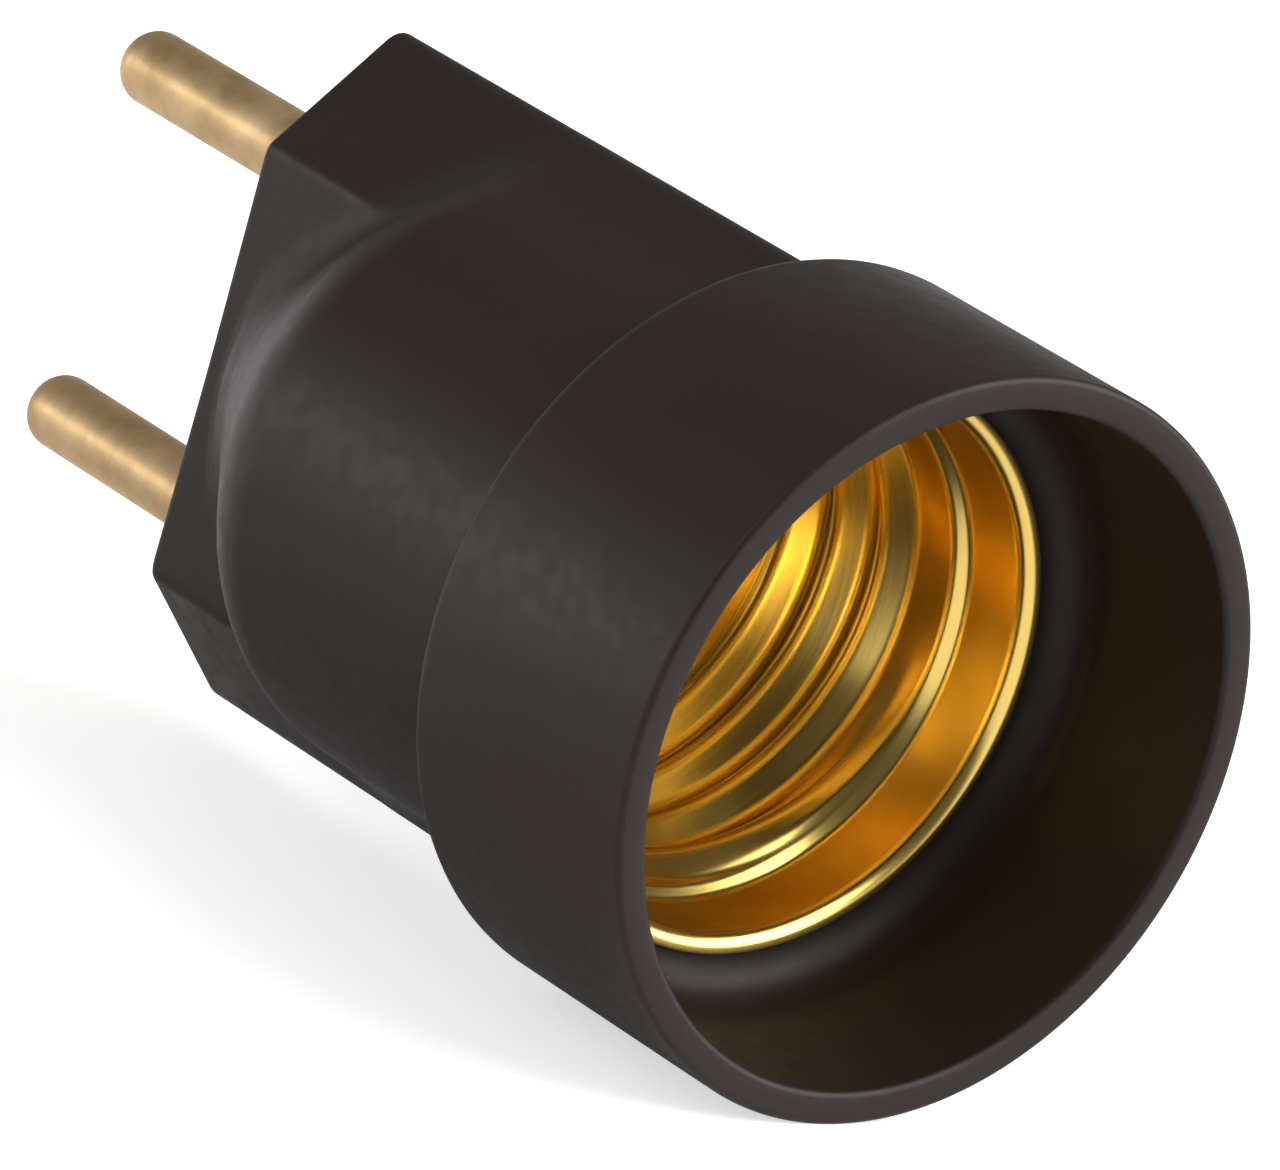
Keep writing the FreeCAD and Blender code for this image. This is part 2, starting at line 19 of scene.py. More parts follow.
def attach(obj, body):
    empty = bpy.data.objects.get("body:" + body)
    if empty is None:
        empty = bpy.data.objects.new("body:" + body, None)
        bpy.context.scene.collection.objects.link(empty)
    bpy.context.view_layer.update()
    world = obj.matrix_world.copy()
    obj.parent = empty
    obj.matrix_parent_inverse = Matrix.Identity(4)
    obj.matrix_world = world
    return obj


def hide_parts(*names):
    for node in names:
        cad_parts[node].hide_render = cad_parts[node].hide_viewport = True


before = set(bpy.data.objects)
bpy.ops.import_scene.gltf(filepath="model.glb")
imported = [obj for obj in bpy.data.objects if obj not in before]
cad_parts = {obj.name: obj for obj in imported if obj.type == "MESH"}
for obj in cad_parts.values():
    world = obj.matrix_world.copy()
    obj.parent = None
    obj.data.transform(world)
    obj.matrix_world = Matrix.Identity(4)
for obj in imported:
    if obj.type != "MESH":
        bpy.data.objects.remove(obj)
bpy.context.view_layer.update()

log = logging.getLogger("lamp_holder")

Point = Tuple[float, float]
Span = Tuple[float, float]
Triple = Tuple[float, float, float]
Colour = Tuple[float, float, float]
Verts = List[bmesh.types.BMVert]
Edges = List[bmesh.types.BMEdge]
Socket = bpy.types.NodeSocket

BODY_LENGTH = 51.75
QUARTER_TURN = math.pi / 2
FULL_TURN = 2 * math.pi
MERGE_WITHIN = 1e-5
JOIN_WITHIN = 1e-4
ALMOST_NONE = 1e-6
BOTH_SIDES = (-1, 1)
EVEN = (1.0, 1.0, 1.0)
WHITE = (1.0, 1.0, 1.0, 1.0)
TO_ROW_FRAME = Matrix((
    (0.0, 0.001, 0.0, 0.0),
    (0.0, 0.0, 0.001, -0.001 * BODY_LENGTH),
    (0.001, 0.0, 0.0, 0.0),
    (0.0, 0.0, 0.0, 1.0),
))


def smooth_max(first: float, second: float, blend: float) -> float:
    """Take the larger of two values, rounded off where they are close.

    Args:
        first: One value.
        second: The other value.
        blend: How close the values are where the rounding starts, or 0 for none.

    Returns:
        The larger value, with up to a quarter of blend added where both are close.
    """
    if blend <= 0:
        return max(first, second)
    reach = max(blend - abs(first - second), 0.0) / blend
    return max(first, second) + reach * reach * blend / 4


def smooth_min(first: float, second: float, blend: float) -> float:
    """Return the smaller of two values, rounded off where they are closer than blend."""
    return -smooth_max(-first, -second, blend)


def ease(value: float) -> float:
    """Return a smooth step from 0 to 1 over a value from 0 to 1."""
    value = min(max(value, 0.0), 1.0)
    return value * value * (3 - 2 * value)


def arc_points(centre: Point, radius: float, start: float, end: float, steps: int) -> List[Point]:
    """Lay points along an arc of an outline.

    Args:
        centre: The arc's centre as (radius from the axis, height).
        radius: The arc's radius.
        start: The first angle in degrees, 0 pointing outwards and 90 along the axis.
        end: The last angle in degrees.
        steps: How many chords stand for the arc.

    Returns:
        The arc's points from start to end.
    """
    points = []
    for step in range(steps + 1):
        angle = math.radians(start + (end - start) * step / steps)
        points.append((centre[0] + radius * math.cos(angle), centre[1] + radius * math.sin(angle)))
    return points


def soft_corner(before: Point, corner: Point, after: Point, reach: float, steps: int) -> List[Point]:
    """Round the corner of an outline with a smooth curve.

    Args:
        before: The outline's point before the corner.
        corner: The sharp corner.
        after: The outline's point after the corner.
        reach: How far from the corner the curve starts and ends.
        steps: How many chords stand for the curve.

    Returns:
        The curve's points from the side of before to the side of after.
    """
    middle = Vector(corner)
    start = middle + (Vector(before) - middle).normalized() * reach
    end = middle + (Vector(after) - middle).normalized() * reach
    points = []
    for step in range(steps + 1):
        part = step / steps
        spot = start * (1 - part) ** 2 + middle * (2 * part * (1 - part)) + end * part ** 2
        points.append((spot.x, spot.y))
    return points


def spin_outline(mesh: bmesh.types.BMesh, outline: Sequence[Point], steps: int, closed: bool) -> None:
    """Turn an outline about the z axis and number its rows from 1 in the layer named row.

    Args:
        mesh: The mesh that takes the shape.
        outline: The points in order, as (radius, height).
        steps: How many steps make the full turn.
        closed: Whether the last point joins the first.
    """
    row = mesh.verts.layers.int.new("row")
    verts = [mesh.verts.new((radius, 0.0, height)) for radius, height in outline]
    for number, vert in enumerate(verts):
        vert[row] = number + 1
    pairs = list(zip(verts, verts[1:]))
    if closed:
        pairs.append((verts[-1], verts[0]))
    edges = [mesh.edges.new(pair) for pair in pairs]
    bmesh.ops.spin(
        mesh, geom=verts + edges, cent=(0, 0, 0), axis=(0, 0, 1),
        angle=FULL_TURN, steps=steps, use_merge=True,
    )
    bmesh.ops.remove_doubles(mesh, verts=mesh.verts, dist=MERGE_WITHIN)


def rows_of(mesh: bmesh.types.BMesh, number: int) -> Verts:
    """Return the vertices of one numbered row of a spun outline."""
    row = mesh.verts.layers.int["row"]
    return [vert for vert in mesh.verts if vert[row] == number]


def ring_loop(mesh: bmesh.types.BMesh, radius: float, centre: Point, height: float, steps: int) -> Verts:
    """Add a circle of edges.

    Args:
        mesh: The mesh that takes the circle.
        radius: The circle's radius.
        centre: The circle's centre in x and y.
        height: The circle's height.
        steps: How many edges stand for the circle.

    Returns:
        The circle's vertices.
    """
    made = bmesh.ops.create_circle(
        mesh, cap_ends=False, radius=radius, segments=steps,
        matrix=Matrix.Translation((centre[0], centre[1], height)),
    )
    return made["verts"]


def edges_of(verts: Sequence[bmesh.types.BMVert]) -> Edges:
    """Return the edges that lie wholly among the given vertices."""
    chosen = set(verts)
    return list({edge for vert in verts for edge in vert.link_edges
                 if edge.verts[0] in chosen and edge.verts[1] in chosen})


def fill_between(mesh: bmesh.types.BMesh, loops: Sequence[Verts]) -> None:
    """Fill the flat region between an outer loop and the loops inside it."""
    edges = [edge for loop in loops for edge in edges_of(loop)]
    bmesh.ops.triangle_fill(mesh, use_beauty=True, use_dissolve=False, edges=edges)


def deepen_loop(mesh: bmesh.types.BMesh, verts: Verts, height: float, cap: bool) -> Verts:
    """Draw a wall from a loop to another height.

    Args:
        mesh: The mesh that holds the loop.
        verts: The loop's vertices.
        height: Where the wall ends.
        cap: Whether a floor closes the wall.

    Returns:
        The vertices of the wall's far loop.
    """
    made = bmesh.ops.extrude_edge_only(mesh, edges=edges_of(verts))
    far = [item for item in made["geom"] if isinstance(item, bmesh.types.BMVert)]
    for vert in far:
        vert.co.z = height
    if cap:
        bmesh.ops.contextual_create(mesh, geom=edges_of(far))
    return far


def finish_piece(
    mesh: bmesh.types.BMesh, name: str, material: bpy.types.Material, sharp_degrees: float = 32.0,
) -> bpy.types.Object:
    """Carry a drawn mesh into the row's frame and link it as a shaded object.

    Args:
        mesh: The finished shape in the holder's frame. It is freed here.
        name: The piece's name.
        material: The finish of the whole piece.
        sharp_degrees: Edges that turn by more than this stay crisp.

    Returns:
        The new object, at the origin with its place in its mesh.
    """
    bmesh.ops.recalc_face_normals(mesh, faces=mesh.faces)
    bmesh.ops.transform(mesh, matrix=TO_ROW_FRAME, verts=mesh.verts)
    data = bpy.data.meshes.new(name)
    mesh.to_mesh(data)
    mesh.free()
    data.shade_smooth()
    data.set_sharp_from_angle(angle=math.radians(sharp_degrees))
    data.materials.append(material)
    piece = bpy.data.objects.new(name, data)
    bpy.context.scene.collection.objects.link(piece)
    log.info("%s: %d faces", name, len(data.polygons))
    return piece


def settle(piece: bpy.types.Object, node: str) -> None:
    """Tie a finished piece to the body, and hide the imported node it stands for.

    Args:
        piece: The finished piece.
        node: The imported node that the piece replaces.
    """
    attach(piece, "root")
    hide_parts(node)


class NodeTree:
    """A small helper that adds and joins the nodes of one material."""

    middle: Span = (0.3, 0.7)
    mix_inputs: Tuple[int, int] = (6, 7)
    mix_output: int = 2

    def __init__(self, name: str) -> None:
        """Start a material with its shader, its output and object coordinates.

        Args:
            name: The material's name.
        """
        self.material = bpy.data.materials.new(name)
        self.material.use_nodes = True
        self.tree = self.material.node_tree
        self.shader = self.tree.nodes["Principled BSDF"]
        self.coordinates = self.add("ShaderNodeTexCoord").outputs["Object"]

    def add(self, kind: str, **values: object) -> bpy.types.Node:
        """Add a node and set its properties or its inputs by name.

        Args:
            kind: The node's type.
            values: Property names, or input names with spaces written as underscores.

        Returns:
            The new node.
        """
        node = self.tree.nodes.new(kind)
        for key, value in values.items():
            if hasattr(node, key):
                setattr(node, key, value)
            else:
                node.inputs[key.replace("_", " ")].default_value = value
        return node

    def link(self, output: Socket, target: Socket) -> None:
        """Join one socket to another."""
        self.tree.links.new(output, target)

    def feed(self, output: Socket, name: str) -> None:
        """Join a socket to the shader's input of that name."""
        self.link(output, self.shader.inputs[name])

    def stretched(self, scale: Triple) -> Socket:
        """Scale the object coordinates along each axis.

        Args:
            scale: The factor along x, y and z. A small one draws a pattern out.

        Returns:
            The scaled coordinates.
        """
        mapping = self.add("ShaderNodeMapping")
        mapping.inputs["Scale"].default_value = scale
        self.link(self.coordinates, mapping.inputs["Vector"])
        return mapping.outputs["Vector"]

    def noise(self, vector: Socket, scale: float, detail: float) -> Socket:
        """Add a noise pattern.

        Args:
            vector: The coordinates that it follows.
            scale: How many times it changes over a metre.
            detail: How many finer layers are added.

        Returns:
            The pattern's factor.
        """
        texture = self.add("ShaderNodeTexNoise", Scale=scale, Detail=detail)
        self.link(vector, texture.inputs["Vector"])
        return texture.outputs["Fac"]

    def ranged(self, factor: Socket, low: float, high: float) -> Socket:
        """Spread the middle of a noise factor over two values.

        Args:
            factor: The noise factor.
            low: The value below its middle.
            high: The value above its middle.

        Returns:
            The new value.
        """
        node = self.add("ShaderNodeMapRange", clamp=True)
        node.inputs["From Min"].default_value = self.middle[0]
        node.inputs["From Max"].default_value = self.middle[1]
        node.inputs["To Min"].default_value = low
        node.inputs["To Max"].default_value = high
        self.link(factor, node.inputs["Value"])
        return node.outputs["Result"]

    def tinted(self, factor: Socket, first: Colour, second: Colour) -> Socket:
        """Blend two colours by the middle of a noise factor.

        Args:
            factor: The noise factor.
            first: The colour below its middle.
            second: The colour above its middle.

        Returns:
            The blended colour.
        """
        blend = self.ranged(factor, 0.0, 1.0)
        node = self.add("ShaderNodeMix", data_type="RGBA")
        for number, colour in zip(self.mix_inputs, (first, second)):
            node.inputs[number].default_value = (*colour, 1.0)
        self.link(blend, node.inputs["Factor"])
        return node.outputs[self.mix_output]

    def bumped(self, height: Socket, strength: float, depth: float, below: Optional[Socket] = None) -> Socket:
        """Roughen a surface's normal by a pattern.

        Args:
            height: The pattern.
            strength: How much of the roughening is used, from 0 to 1.
            depth: The pattern's depth in metres.
            below: Another normal that this one starts from.

        Returns:
            The new normal.
        """
        node = self.add("ShaderNodeBump", Strength=strength, Distance=depth)
        self.link(height, node.inputs["Height"])
        if below is not None:
            self.link(below, node.inputs["Normal"])
        return node.outputs["Normal"]


@dataclass(frozen=True)
class Pattern:
    """A noise pattern: its stretch along each axis, its changes in a metre and its finer layers."""

    stretch: Triple
    scale: float
    detail: float

    def lay(self, nodes: NodeTree) -> Socket:
        """Add the pattern to a material, and return its factor."""
        return nodes.noise(nodes.stretched(self.stretch), self.scale, self.detail)


class MetalGrain(Enum):
    """How the fine lines of a metal run: round the holder's axis, or not at all."""

    TURNED = Pattern((0.25, 14.0, 0.25), 900.0, 4.0)
    ROLLED = Pattern((0.12, 10.0, 0.12), 700.0, 4.0)
    PLAIN = Pattern(EVEN, 2400.0, 3.0)


@dataclass(frozen=True)
class MouldedPlastic:
    """Satin plastic out of a mould: an even tone with a fine grain and a slight flow pattern."""

    name: str
    colour: Colour
    cloudy: Colour
    roughness: Span
    specular: float
    grain_strength: float
    grain_depth: float = 0.00002
    wave_strength: float = 0.06
    wave_depth: float = 0.00006
    cloud: Pattern = Pattern((1.0, 0.6, 1.0), 90.0, 4.0)
    grain: Pattern = Pattern(EVEN, 5200.0, 2.0)
    wave: Pattern = Pattern(EVEN, 900.0, 3.0)

    def make(self) -> bpy.types.Material:
        """Build the material.

        Returns:
            The new material.
        """
        nodes = NodeTree(self.name)
        wave = self.wave.lay(nodes)
        nodes.feed(nodes.tinted(self.cloud.lay(nodes), self.colour, self.cloudy), "Base Color")
        nodes.feed(nodes.ranged(wave, *self.roughness), "Roughness")
        wavy = nodes.bumped(wave, self.wave_strength, self.wave_depth)
        nodes.feed(nodes.bumped(self.grain.lay(nodes), self.grain_strength, self.grain_depth, wavy), "Normal")
        nodes.shader.inputs["Specular IOR Level"].default_value = self.specular
        return nodes.material


@dataclass(frozen=True)
class WorkedMetal:
    """Sheet, strip or turned metal with the fine lines that its making leaves."""

    name: str
    colour: Colour
    tarnish: Colour
    roughness: Span
    grain: MetalGrain
    line_strength: float = 0.06
    line_depth: float = 0.00003
    patches: Pattern = Pattern(EVEN, 260.0, 5.0)

    def make(self) -> bpy.types.Material:
        """Build the material.

        Returns:
            The new material.
        """
        nodes = NodeTree(self.name)
        nodes.feed(nodes.tinted(self.patches.lay(nodes), self.colour, self.tarnish), "Base Color")
        lines = self.grain.value.lay(nodes)
        nodes.feed(nodes.ranged(lines, *self.roughness), "Roughness")
        nodes.feed(nodes.bumped(lines, self.line_strength, self.line_depth), "Normal")
        nodes.shader.inputs["Metallic"].default_value = 1.0
        return nodes.material


SATIN_DARK_PLASTIC = MouldedPlastic(
    name="satin_dark_plastic",
    colour=(0.0145, 0.0082, 0.0066),
    cloudy=(0.0175, 0.0105, 0.0085),
    roughness=(0.43, 0.51),
    specular=0.25,
    grain_strength=0.10,
)
PALE_MOULDING = MouldedPlastic(
    name="pale_moulding",
    colour=(0.62, 0.58, 0.50),
    cloudy=(0.56, 0.52, 0.44),
    roughness=(0.50, 0.62),
    specular=0.4,
    grain_strength=0.2,
)
GOLD_ROLLED_SHEET = WorkedMetal(
    name="gold_rolled_sheet",
    colour=(0.93, 0.67, 0.19),
    tarnish=(0.90, 0.62, 0.16),
    roughness=(0.20, 0.24),
    grain=MetalGrain.ROLLED,
    line_strength=0.02,
)
TURNED_DULL_BRASS = WorkedMetal(
    name="turned_dull_brass",
    colour=(0.64, 0.45, 0.25),
    tarnish=(0.43, 0.29, 0.14),
    roughness=(0.42, 0.54),
    grain=MetalGrain.TURNED,
    line_strength=0.3,
    patches=Pattern(EVEN, 420.0, 5.0),
)
ROLLED_STRIP_BRASS = WorkedMetal(
    name="rolled_strip_brass",
    colour=(0.78, 0.58, 0.26),
    tarnish=(0.70, 0.50, 0.22),
    roughness=(0.26, 0.38),
    grain=MetalGrain.PLAIN,
)
PLAIN_RIVET_BRASS = WorkedMetal(
    name="plain_rivet_brass",
    colour=(0.74, 0.56, 0.28),
    tarnish=(0.66, 0.48, 0.24),
    roughness=(0.28, 0.42),
    grain=MetalGrain.PLAIN,
)
PLATED_STEEL = WorkedMetal(
    name="plated_steel",
    colour=(0.56, 0.55, 0.53),
    tarnish=(0.48, 0.47, 0.45),
    roughness=(0.26, 0.40),
    grain=MetalGrain.PLAIN,
)


@dataclass
class Finishes:
    """Every finish of the holder, made once."""

    housing: bpy.types.Material = field(default_factory=SATIN_DARK_PLASTIC.make)
    carrier: bpy.types.Material = field(default_factory=PALE_MOULDING.make)
    shell: bpy.types.Material = field(default_factory=GOLD_ROLLED_SHEET.make)
    pin: bpy.types.Material = field(default_factory=TURNED_DULL_BRASS.make)
    strip: bpy.types.Material = field(default_factory=ROLLED_STRIP_BRASS.make)
    rivet: bpy.types.Material = field(default_factory=PLAIN_RIVET_BRASS.make)
    steel: bpy.types.Material = field(default_factory=PLATED_STEEL.make)


@dataclass
class Housing:
    """The one-piece moulding: cup, neck and six-sided plug end, with the spaces inside.

    Lengths are in millimetres and heights are measured from the cup's mouth. The round at the
    plug's face starts at face_start, in degrees.
    """

    steps: int = 432
    cup_radius: float = 19.3
    cup_bore: float = 17.55
    cup_length: float = 16.6
    cup_depth: float = 11.6
    floor_round: float = 2.3
    floor_steps: int = 8
    rim_round: float = 0.35
    rim_steps: int = 5
    back_round: float = 1.0
    back_steps: int = 6
    root_round: float = 0.6
    counterbore: float = 14.6
    mouth_round: float = 0.35
    mouth_steps: int = 4
    ledge: float = 16.087
    socket_bore: float = 14.2
    socket_depth: float = 36.0
    neck_radius: float = 16.0
    neck_end: float = 37.2
    slope_end: float = 49.8
    half_thickness: float = 6.6
    slope_normal: Point = (0.694, 0.720)
    slope_distance: float = 12.80
    ridge_blend: float = 1.76
    flat_blend: float = 0.4
    join_blend: float = 2.4
    join_fade: float = 2.6
    neck_blend: float = 1.6
    face_round: float = 0.5
    face_start: float = 15.0
    face_steps: int = 5
    neck_rows: int = 7
    neck_row: float = 2.0
    side_start: float = 0.9
    side_row: float = 0.5
    fine_row: float = 0.18
    fine_from: float = 35.0
    last_gap: float = 0.02
    pocket_half: Point = (12.6, 4.0)
    pocket_corner: float = 1.0
    corner_steps: int = 6
    pocket_floor: float = 46.5
    pin_offset: float = 9.5
    stud_hole: float = 1.3
    stud_steps: int = 48
    root_hole: float = 2.45
    root_steps: int = 64
    root_seat: float = 50.65
    screw_offset: float = 9.0
    pilot_hole: float = 1.3
    pilot_steps: int = 32
    pilot_depth: float = 43.5

    def plug_radius(self, angle: float) -> float:
        """Measure the six-sided outline from the axis.

        Args:
            angle: The angle from the line through the pins.

        Returns:
            How far the outline reaches there, with its edges rounded off.
        """
        across = abs(math.cos(angle))
        up = abs(math.sin(angle))
        slanted = self.slope_distance / (self.slope_normal[0] * across + self.slope_normal[1] * up)
        other = self.slope_normal[0] * across - self.slope_normal[1] * up
        if other > ALMOST_NONE:
            slanted = smooth_min(slanted, self.slope_distance / other, self.ridge_blend)
        if up > ALMOST_NONE:
            slanted = smooth_min(slanted, self.half_thickness / up, self.flat_blend)
        return slanted

    def neck_at(self, height: float) -> float:
        """Measure the round neck with its slope down to the flat end.

        Args:
            height: The height from the mouth.

        Returns:
            The radius there.
        """
        slope = (self.neck_radius - self.half_thickness) / (self.slope_end - self.neck_end)
        sloping = self.neck_radius - slope * (height - self.neck_end)
        return smooth_min(self.neck_radius, sloping, self.neck_blend)

    def outer_radius(self, angle: float, height: float) -> float:
        """Return the outside radius behind the cup, whose soft joins end before the plug's face."""
        fade = ease((BODY_LENGTH - self.face_round - height) / self.join_fade)
        return smooth_max(self.plug_radius(angle), self.neck_at(height), self.join_blend * fade)

    def inside_outline(self) -> List[Point]:
        """Lay out the spun faces up to the cup's back edge.

        Returns:
            The points from the socket's floor out over the rim to the cup's back.
        """
        floor = arc_points((self.cup_bore - self.floor_round, self.cup_depth - self.floor_round),
                           self.floor_round, 90.0, 0.0, self.floor_steps)
        inner_rim = arc_points((self.cup_bore + self.rim_round, self.rim_round),
                               self.rim_round, 180.0, 270.0, self.rim_steps)
        outer_rim = arc_points((self.cup_radius - self.rim_round, self.rim_round),
                               self.rim_round, 270.0, 360.0, self.rim_steps)
        back = arc_points((self.cup_radius - self.back_round, self.cup_length - self.back_round),
                          self.back_round, 0.0, 90.0, self.back_steps)
        wall = [(self.socket_bore, self.socket_depth), (self.socket_bore, self.ledge),
                (self.counterbore, self.ledge)]
        wall += arc_points((self.counterbore + self.mouth_round, self.cup_depth + self.mouth_round),
                           self.mouth_round, 180.0, 270.0, self.mouth_steps)
        return wall + floor + inner_rim + outer_rim + back

    def outside_heights(self) -> List[float]:
        """Space the rows behind the cup, closer where the slope meets the sides.

        Returns:
            The rows' heights up to the round at the plug's face.
        """
        heights = [self.cup_length + self.root_round * (1 - math.cos(math.radians(angle)))
                   for angle in (30, 60, 90)]
        heights += [self.cup_length + self.root_round + step * self.neck_row
                    for step in range(1, self.neck_rows + 1)]
        height = heights[-1] + self.side_start
        top = BODY_LENGTH - self.face_round
        while height < top - self.last_gap:
            heights.append(height)
            height += self.fine_row if height > self.fine_from else self.side_row
        return heights + [top]

    def build(self, finishes: Finishes) -> bpy.types.Object:
        """Draw the moulding and dress it.

        Args:
            finishes: The holder's finishes.

        Returns:
            The finished piece.
        """
        mesh = bmesh.new()
        inside = self.inside_outline()
        heights = self.outside_heights()
        face_rows = arc_points((0.0, 0.0), 1.0, self.face_start, 90.0, self.face_steps)
        rows = [(self.neck_radius, height) for height in heights]
        rows += [(self.neck_radius, BODY_LENGTH - self.face_round * (1 - up)) for _, up in face_rows]
        spin_outline(mesh, inside + rows, self.steps, closed=False)
        self.shape_outside(mesh, len(inside), heights, face_rows)
        self.cut_face(mesh, len(inside) + len(rows))
        self.cut_socket_floor(mesh)
        return finish_piece(mesh, "housing_moulding", finishes.housing)

    def shape_outside(self, mesh: bmesh.types.BMesh, first: int, heights: List[float],
                      face_rows: List[Point]) -> None:
        """Move the rows behind the cup onto the neck and the six sides.

        Args:
            mesh: The spun mesh, whose rows are numbered from 1.
            first: How many rows come before those behind the cup.
            heights: The heights of the rows behind the cup.
            face_rows: The cosine and sine of each row round the plug face's edge.
        """
        row = mesh.verts.layers.int["row"]
        for vert in mesh.verts:
            number = vert[row] - first - 1
            if number < 0:
                continue
            angle = math.atan2(vert.co.y, vert.co.x)
            if number < len(heights):
                radius = self.outer_radius(angle, heights[number])
                left = self.root_round - (heights[number] - self.cup_length)
                if left > 0:
                    radius += self.root_round - math.sqrt(max(self.root_round ** 2 - left ** 2, 0))
            else:
                inset = self.face_round * (1 - face_rows[number - len(heights)][0])
                radius = self.outer_radius(angle, BODY_LENGTH - self.face_round) - inset
            vert.co.x = radius * math.cos(angle)
            vert.co.y = radius * math.sin(angle)

    def cut_face(self, mesh: bmesh.types.BMesh, last: int) -> None:
        """Fill the plug's face round the pins' recesses, and sink these with their stud holes.

        Args:
            mesh: The shaped mesh.
            last: The number of the row round the face.
        """
        recesses = [ring_loop(mesh, self.root_hole, (side * self.pin_offset, 0.0),
                              BODY_LENGTH, self.root_steps) for side in BOTH_SIDES]
        fill_between(mesh, [rows_of(mesh, last), *recesses])
        for side, recess in zip(BOTH_SIDES, recesses):
            seat = deepen_loop(mesh, recess, self.root_seat, cap=False)
            hole = ring_loop(mesh, self.stud_hole, (side * self.pin_offset, 0.0),
                             self.root_seat, self.stud_steps)
            fill_between(mesh, [seat, hole])
            deepen_loop(mesh, hole, self.pocket_floor, cap=False)

    def cut_socket_floor(self, mesh: bmesh.types.BMesh) -> None:
        """Fill the socket's floor round the contact space and the pilot holes, and sink these.

        Args:
            mesh: The shaped mesh, whose first row is the socket's floor edge.
        """
        pocket = self.pocket_loop(mesh)
        pilots = [ring_loop(mesh, self.pilot_hole, (0.0, side * self.screw_offset),
                            self.socket_depth, self.pilot_steps) for side in BOTH_SIDES]
        fill_between(mesh, [rows_of(mesh, 1), pocket, *pilots])
        for pilot in pilots:
            deepen_loop(mesh, pilot, self.pilot_depth, cap=True)
        bottom = deepen_loop(mesh, pocket, self.pocket_floor, cap=False)
        studs = [ring_loop(mesh, self.stud_hole, (side * self.pin_offset, 0.0),
                           self.pocket_floor, self.stud_steps) for side in BOTH_SIDES]
        fill_between(mesh, [bottom, *studs])
        bmesh.ops.remove_doubles(mesh, verts=mesh.verts, dist=JOIN_WITHIN)

    def pocket_loop(self, mesh: bmesh.types.BMesh) -> Verts:
        """Add the contact space's outline with its round corners.

        Args:
            mesh: The mesh that takes the outline.

        Returns:
            The outline's vertices.
        """
        half_x, half_y = self.pocket_half
        reach = self.pocket_corner
        verts = []
        for quarter, (sign_x, sign_y) in enumerate(((1, 1), (-1, 1), (-1, -1), (1, -1))):
            for step in range(self.corner_steps + 1):
                angle = math.radians(90 * quarter + 90 * step / self.corner_steps)
                verts.append(mesh.verts.new((
                    sign_x * (half_x - reach) + reach * math.cos(angle),
                    sign_y * (half_y - reach) + reach * math.sin(angle),
                    self.socket_depth,
                )))
        for start, end in zip(verts, verts[1:] + verts[:1]):
            mesh.edges.new((start, end))
        return verts


